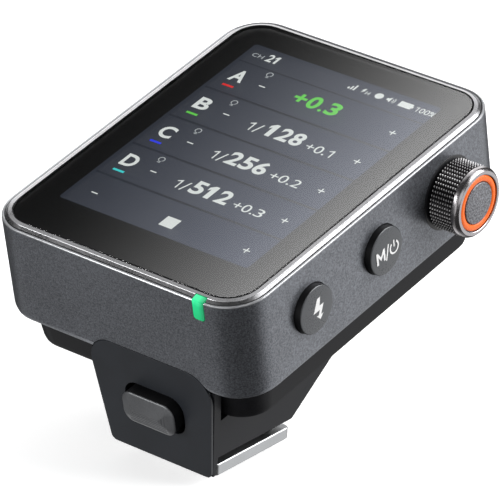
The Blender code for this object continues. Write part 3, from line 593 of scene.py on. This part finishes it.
# ------------------------------------------------------- glass with a window
GI, GT = 1.80, 0.44
bm = loft([case_loop(GI, -0.35), case_loop(GI, GT - 0.14), case_loop(GI + 0.05, GT - 0.05), case_loop(GI + 0.14, GT)])
bm.faces.ensure_lookup_table()
for f in bm.faces:
    f.material_index = 1 if f.calc_center_median().z < -0.3 else 0
add("cover_glass_clear", bm, [M["glass"], M["under"]], BODY, "chassis", smooth=10, replaces="cover_glass")
# black print on the back of the glass, with the window left open
bm = bmesh.new()
outer = [(x, y) for x, y in rounded(-HALF + GI + 0.02, HALF - GI - 0.02, GI + 0.02, CASE_L - GI - 0.02, CASE_R - GI, 24)]
inner = [(x, y) for x, y in rounded(*WIN, 0.55, 24)]
vo = [bm.verts.new((x, y, 0.05)) for x, y in outer]
vi = [bm.verts.new((x, y, 0.05)) for x, y in inner]
for i in range(len(vo)):
    j = (i + 1) % len(vo)
    bm.faces.new((vo[i], vo[j], vi[j], vi[i]))
add("glass_back_print", bm, M["mask"], BODY, "chassis", recalc=False)

# ------------------------------------------------------------- button prints
SIDE_U = HALF + 1.10 + 0.10


def side_at(u):
    return lambda v, w: BODY @ Vector((u, v, w))


def bolt(cv, cw, s=1.0):
    shape = [(-0.10, 1.87), (0.62, 1.87), (0.28, 0.45), (1.22, 0.45), (0.45, -1.15), (0.98, -1.15), (0.18, -1.87),
             (-0.62, -0.98), (-0.10, -1.05), (0.22, -0.30), (-1.22, -0.30)]
    return [(cv + a * s, cw + b * s) for a, b in shape]


def tris(poly):
    """Return the polygon unchanged, as a one-item list."""
    return [poly]


flat("test_print", [bolt(15.72, -7.97, 1.0)], M["print"], side_at(SIDE_U), "test_key")
flat("menu_print_m", [[(29.70 + 2.05 * a, -9.15 + 2.10 * b) for a, b in
                       ((0.0, 0.0), (0.20, 0.0), (0.20, 0.62), (0.50, 0.18), (0.80, 0.62), (0.80, 0.0), (1.0, 0.0), (1.0, 1.0),
                        (0.82, 1.0), (0.50, 0.50), (0.18, 1.0), (0.0, 1.0))]], M["print"], side_at(SIDE_U), "menu_key")
flat("menu_print_bar", [[(31.78, -9.43), (32.06, -9.43), (32.82, -6.90), (32.54, -6.90)]], M["print"], side_at(SIDE_U), "menu_key")
flat("menu_print_power", arc_band(33.95, -8.20, 0.82, 1.12, 125, 415, 30) + [bar(33.81, 34.09, -8.1, -6.92)], M["print"],
     side_at(SIDE_U), "menu_key")

# ----------------------------------------------------------------- the dial
DV, DW = 49.05, -8.0
DIAL = BODY @ Matrix.Translation((HALF, DV, DW)) @ Matrix.Rotation(math.pi / 2, 4, 'Y')
TEETH, ROWS = 50, 9
TIP, ROOT, BAND, OUT = 5.60, 5.22, 5.50, 5.70


def knurled():
    bm = bmesh.new()
    seg = TEETH * 2
    # profile: plain lower edge, pyramid rows, bright band, chamfer, face
    h0, h1 = 0.44, 4.42
    rings = [(1.75, -0.9, False), (2.6, -0.9, False), (2.6, 0.72, False), (4.88, 0.72, False), (4.88, 0.36, False),
             (ROOT - 0.02, 0.36, False)]
    hs = [h0 + (h1 - h0) * k / (ROWS * 2) for k in range(ROWS * 2 + 1)]
    for k, h in enumerate(hs):
        rings.append((TIP if k % 2 else ROOT, h, k % 2 == 1))
    knurl_end = len(rings)
    rings += [(5.22, 4.45, False), (BAND - 0.06, 4.50, False), (BAND, 4.60, False), (BAND, 5.16, False),
              (BAND - 0.07, 5.32, False), (5.22, 5.56, False), (5.06, OUT - 0.01, False), (4.96, OUT, False),
              (4.56, OUT, False), (4.48, OUT - 0.05, False), (4.46, 4.90, False), (1.75, 4.90, False)]
    vr = []
    for r, h, spiky in rings:
        ring = []
        for k in range(seg):
            a = 2 * math.pi * k / seg
            rr = r if (not spiky or k % 2) else ROOT
            ring.append(bm.verts.new((rr * math.cos(a), rr * math.sin(a), h)))
        vr.append(ring)
    for i, (a, b) in enumerate(zip(vr, vr[1:] + vr[:1])):
        for k in range(seg):
            j = (k + 1) % seg
            f = bm.faces.new((a[k], a[j], b[j], b[k]))
            f.material_index = 0 if i < knurl_end else 1
    return bm


add("dial_knurled", knurled(), [M["dial"], M["dial_rim"]], DIAL, "dial", smooth=24, replaces="dial_body")


def spun(profile, seg, split=None):
    """Closed turned form from (radius, height) pairs; faces from pair number split on take the second material."""
    bm = bmesh.new()
    rings = []
    for r, h in profile:
        if r < 1e-6:
            rings.append([bm.verts.new((0, 0, h))])
        else:
            rings.append([bm.verts.new((r * math.cos(2 * math.pi * k / seg), r * math.sin(2 * math.pi * k / seg), h))
                          for k in range(seg)])
    for i, (a, b) in enumerate(zip(rings, rings[1:])):
        for k in range(seg):
            j = (k + 1) % seg
            if len(a) == 1:
                f = bm.faces.new((a[0], b[k], b[j]))
            elif len(b) == 1:
                f = bm.faces.new((a[k], a[j], b[0]))
            else:
                f = bm.faces.new((a[k], a[j], b[j], b[k]))
            f.material_index = 1 if split is not None and i >= split else 0
    return bm


# black collar round the dial's foot, with a thin black washer against the case reaching out under the knurl: a dark
# sheet put in as painted shade for the gap between knurl and case
COL = [(2.85, -1.9), (2.85, 0.33), (2.88, 0.35), (4.68, 0.35), (4.75, 0.28), (4.75, 0.085), (5.86, 0.085), (5.92, 0.06),
       (5.92, 0.015), (4.30, 0.015), (4.30, -1.9), (2.85, -1.9)]
add("dial_collar_turned", spun(COL, 96), M["collar"], DIAL, "chassis", smooth=30,
    replaces="dial_collar")
# orange ring: a crowned bead standing in its groove
RO = [(3.40, 5.0), (3.40, 5.56), (3.44, 5.62)]
RO = [(3.40, 5.0), (3.40, 5.46), (3.43, 5.52)]
RO += [(3.44 + 0.88 * t / 12, 5.53 + 0.12 * math.sin(math.pi * t / 12)) for t in range(0, 13)]
RO += [(4.335, 5.51), (4.36, 5.46), (4.36, 5.0), (3.40, 5.0)]
add("dial_ring_crowned", spun(RO, 96), M["orange"], DIAL, "dial", smooth=25, replaces="dial_accent_ring")
# centre cap: flat cast face with a broken edge
CAPP = [(0, 5.66), (1.6, 5.66), (3.12, 5.655), (3.22, 5.635), (3.28, 5.58), (3.30, 5.50), (3.30, 5.0), (0, 5.0)]
add("dial_cap_cast", spun(CAPP, 96), M["dial_cap"], DIAL, "dial", smooth=20, replaces="dial_centre_cap")

# ------------------------------------------------------------ side buttons
KR, KO = 3.85, 1.10
KEYP = [(0, KO + 0.080), (0.6, KO + 0.077), (1.2, KO + 0.067), (1.8, KO + 0.051), (2.4, KO + 0.028), (3.0, KO - 0.002),
        (3.4, KO - 0.027), (3.60, KO - 0.042), (3.70, KO - 0.058), (3.77, KO - 0.090), (3.82, KO - 0.135), (KR, KO - 0.20),
        (KR, -1.62), (4.30, -1.62), (4.30, -2.25), (1.2, -2.25), (1.2, -3.2), (0, -3.2)]
for nm, v in (("test", 15.45), ("menu", 32.30)):
    at = BODY @ Matrix.Translation((HALF, v, -8.0)) @ Matrix.Rotation(math.pi / 2, 4, 'Y')
    add(nm + "_key_domed", spun(KEYP, 96, 10), [M["key"], M["skirt"]], at, nm + "_key", smooth=40,
        replaces=nm + "_button")

# ------------------------------------------------------ shoe release button
SU, REL_W = 5.34, -23.70


def cap_loop(a, b, r, v, n=14):
    return [(x, v, z) for x, z in rounded(-a, a, -b, b, r, n)]


def release_cap():
    """Hipped face: ridge along the middle, fine ribs below it, black sides and flange."""
    ridge = cap_loop(2.35, 0.08, 0.05, -2.30)
    brim = cap_loop(4.72, 2.47, 1.67, -1.62)
    loops = [ridge]
    for k in range(1, 11):
        t = k / 11
        ring = []
        plain = cap_loop(2.35 + 2.37 * t, 0.08 + 2.39 * t, 0.05 + 1.62 * max(0.0, (t - 0.35) / 0.65) ** 1.5, -2.30 + 0.68 * t)
        for x, v, z in plain:
            low = min(max(-z / 0.3, 0.0), 1.0) * min(max((3.7 - abs(x)) / 0.6, 0.0), 1.0) * (1.0 if k % 2 else 0.0)
            ring.append((x, v + 0.10 * low, z))
        loops.append(ring)
    loops += [brim, cap_loop(4.80, 2.55, 1.75, -1.585), cap_loop(4.88, 2.63, 1.83, -1.53), cap_loop(4.93, 2.68, 1.88, -1.47),
              cap_loop(4.95, 2.70, 1.90, -1.38)]
    edge = len(loops) - 1
    loops += [cap_loop(4.95, 2.70, 1.90, 2.40), cap_loop(6.10, 3.40, 1.90, 2.40), cap_loop(6.10, 3.40, 1.90, 3.30)]
    bm = loft(loops)
    bm.faces.ensure_lookup_table()
    n = len(ridge)
    for i, f in enumerate(bm.faces):
        if i < n * (len(loops) - 1):
            f.material_index = 0 if i // n < edge else 1
    bm.faces[n * (len(loops) - 1) + 1].material_index = 1
    return bm


REL_AT = BODY @ Matrix.Translation((SU, 0, REL_W))
add("release_cap_hipped", release_cap(), [M["release"], M["skirt"]], REL_AT, "release", smooth=5,
    replaces="release_button")


def carriage():
    """Frame behind the cap, with the two ramps that lift the locking pin."""
    bm = bmesh.new()
    outer = [(-4.4, 3.3), (4.4, 3.3), (4.4, 23.0), (-4.4, 23.0)]
    inner = [(-3.0, 4.8), (3.0, 4.8), (3.0, 21.5), (-3.0, 21.5)]
    ring = [[bm.verts.new((x, y, z)) for x, y in loop] for z in (-1.9, -0.1) for loop in (outer, inner)]
    for i in range(4):
        j = (i + 1) % 4
        bm.faces.new((ring[0][i], ring[0][j], ring[1][j], ring[1][i]))
        bm.faces.new((ring[2][i], ring[2][j], ring[3][j], ring[3][i]))
        bm.faces.new((ring[0][i], ring[0][j], ring[2][j], ring[2][i]))
        bm.faces.new((ring[1][i], ring[1][j], ring[3][j], ring[3][i]))
    side = [(13.0, -1.9), (19.30, -1.9), (15.80, 1.47), (13.0, 1.47)]
    for a, b in ((-2.999, -1.75), (1.75, 2.999)):
        lo = [bm.verts.new((a, y, z)) for y, z in side]
        hi = [bm.verts.new((b, y, z)) for y, z in side]
        bm.faces.new(lo)
        bm.faces.new(list(reversed(hi)))
        for i in range(4):
            j = (i + 1) % 4
            bm.faces.new((lo[i], lo[j], hi[j], hi[i]))
    bmesh.ops.bevel(bm, geom=bm.edges[:], offset=0.08, segments=2, affect='EDGES')
    return bm


add("release_carriage", carriage(), M["skirt"], REL_AT, "release", smooth=35)


# ================================================== floor, camera and lights
def panel_light(name, loc, target, size, energy, colour=(1, 1, 1), spread=180):
    li = bpy.data.lights.new(name, 'AREA')
    li.shape = 'RECTANGLE'
    li.size, li.size_y = size
    li.energy = energy
    li.color = colour
    li.spread = math.radians(spread)
    ob = bpy.data.objects.new(name, li)
    bpy.context.collection.objects.link(ob)
    ob.location = loc
    ob.rotation_euler = (Vector(target) - Vector(loc)).to_track_quat('-Z', 'Y').to_euler()
    return ob


floor_z = B_CAD[0].z - 0.00005
bm = bmesh.new()
bmesh.ops.create_circle(bm, cap_ends=True, segments=96, radius=3.0)
me = bpy.data.meshes.new("floor")
bm.to_mesh(me)
bm.free()
floor = bpy.data.objects.new("floor", me)
floor.location = (0, 0, floor_z)
bpy.context.collection.objects.link(floor)
fm, fnt, fb = new_mat("floor_paper", (0.90, 0.90, 0.90), 0.9, spec=0.1)
link(fnt, ramp(fnt, noise(fnt, coords(fnt), 20.0), [(0.0, (0.89, 0.89, 0.89)), (1.0, (0.91, 0.91, 0.91))]),
     fb.inputs["Base Color"])
fb.inputs["Emission Color"].default_value = (1, 1, 1, 1)
fb.inputs["Emission Strength"].default_value = 0.62
me.materials.append(fm)
floor.visible_glossy = False
floor.visible_diffuse = False

# white sweep behind everything, seen by the camera only
bm = bmesh.new()
bmesh.ops.create_uvsphere(bm, u_segments=48, v_segments=24, radius=2.95)
me = bpy.data.meshes.new("backdrop")
bm.to_mesh(me)
bm.free()
sweep = bpy.data.objects.new("backdrop", me)
sweep.location = (0, 0, floor_z)
bpy.context.collection.objects.link(sweep)
sm, snt, sb = new_mat("backdrop_white", (0.0, 0.0, 0.0), 1.0, spec=0.0)
sb.inputs["Emission Strength"].default_value = 1.0
link(snt, ramp(snt, noise(snt, coords(snt), 2.0), [(0.0, (1.0, 1.0, 1.0)), (1.0, (1.02, 1.02, 1.02))]), sb.inputs["Emission Color"])
me.materials.append(sm)
sweep.visible_glossy = False
sweep.visible_diffuse = False
sweep.visible_transmission = False
sweep.visible_shadow = False

# soft white card above and behind the left side: its graded edge is what the
# glass mirrors
CARD_C = Vector((-0.18907, 0.16830, 0.26640))
E1, E2 = Vector((0.64441, 0.76468, 0.0)), Vector((0.52418, -0.44174, 0.72808))
me = bpy.data.meshes.new("card")
bm = bmesh.new()
vs = [bm.verts.new((x, y, 0)) for x, y in ((-0.085, -0.060), (0.085, -0.060), (0.085, 0.060), (-0.085, 0.060))]
bm.faces.new(vs)
bm.to_mesh(me)
bm.free()
card = bpy.data.objects.new("card", me)
bpy.context.collection.objects.link(card)
card.matrix_world = Matrix.Translation(CARD_C) @ Matrix((E1, E2, E1.cross(E2))).transposed().to_4x4()
cm = bpy.data.materials.new("card_glow")
cm.use_nodes = True
cnt = cm.node_tree
cnt.nodes.remove(cnt.nodes["Principled BSDF"])
em = cnt.nodes.new("ShaderNodeEmission")
dt = cnt.nodes.new("ShaderNodeVectorMath")
dt.operation = 'DOT_PRODUCT'
tc = cnt.nodes.new("ShaderNodeTexCoord")
link(cnt, tc.outputs["Object"], dt.inputs[0])
dt.inputs[1].default_value = (7.61, 17.19, 0.0)
pw = cnt.nodes.new("ShaderNodeMath")
pw.operation = 'POWER'
mr = cnt.nodes.new("ShaderNodeMapRange")
mr.inputs["From Min"].default_value = -0.56
mr.inputs["From Max"].default_value = 0.46
mr.inputs["To Min"].default_value = 0.0
mr.inputs["To Max"].default_value = 1.0
link(cnt, dt.outputs["Value"], mr.inputs["Value"])
link(cnt, mr.outputs["Result"], pw.inputs[0])
pw.inputs[1].default_value = CARD_POWER
mu = cnt.nodes.new("ShaderNodeMath")
mu.operation = 'MULTIPLY'
link(cnt, pw.outputs[0], mu.inputs[0])
mu.inputs[1].default_value = CARD_GLOW
link(cnt, mu.outputs[0], em.inputs["Strength"])
link(cnt, em.outputs[0], cnt.nodes["Material Output"].inputs["Surface"])
me.materials.append(cm)
card.visible_camera = False
card.visible_diffuse = False

world = bpy.data.worlds.new("studio")
bpy.context.scene.world = world
world.use_nodes = True
wnt = world.node_tree
bg = wnt.nodes["Background"]
bg.inputs["Color"].default_value = (1, 1, 1, 1)
wtc = wnt.nodes.new("ShaderNodeTexCoord")
total = None
for d, c0, c1, power in WORLD:
    dn = wnt.nodes.new("ShaderNodeVectorMath")
    dn.operation = 'DOT_PRODUCT'
    link(wnt, wtc.outputs["Generated"], dn.inputs[0])
    dn.inputs[1].default_value = Vector(d).normalized()
    r = wnt.nodes.new("ShaderNodeMapRange")
    r.interpolation_type = 'SMOOTHSTEP'
    r.inputs["From Min"].default_value = c0
    r.inputs["From Max"].default_value = c1
    r.inputs["To Min"].default_value = 0.0
    r.inputs["To Max"].default_value = power
    link(wnt, dn.outputs["Value"], r.inputs["Value"])
    if total is None:
        total = r.outputs["Result"]
    else:
        ad = wnt.nodes.new("ShaderNodeMath")
        ad.operation = 'ADD'
        link(wnt, total, ad.inputs[0])
        link(wnt, r.outputs["Result"], ad.inputs[1])
        total = ad.outputs[0]
ad = wnt.nodes.new("ShaderNodeMath")
ad.operation = 'ADD'
link(wnt, total, ad.inputs[0])
ad.inputs[1].default_value = AMBIENT
link(wnt, ad.outputs[0], bg.inputs["Strength"])

T0 = Vector((0.0, 0.01, 0.025))
for nm, d, dist, size, energy in LIGHTS:
    panel_light(nm, T0 + Vector(d).normalized() * dist, T0, size, energy)

# camera: solved from the case's straight edges, in the body frame
RV = Vector((2.1207, 0.6771, -0.4803))
R = Matrix.Rotation(RV.length, 4, RV.normalized())          # body -> camera (x right, y down, z ahead)
cam_pos = Vector((384.06, -391.76, 386.17))
axes = Matrix((R[0][:3], tuple(-c for c in R[1][:3]), tuple(-c for c in R[2][:3]))).transposed()
rot = Matrix.Rotation(TILT, 3, 'X') @ axes
camd = bpy.data.cameras.new("camera")
camd.sensor_width = 36.0
camd.lens = 4639.96 / 500 * 36.0
camd.clip_start, camd.clip_end = 0.05, 20.0
camd.dof.use_dof = False
cam = bpy.data.objects.new("camera", camd)
bpy.context.collection.objects.link(cam)
cam.matrix_world = Matrix.Translation(BODY @ cam_pos) @ rot.to_4x4()
bpy.context.scene.camera = cam
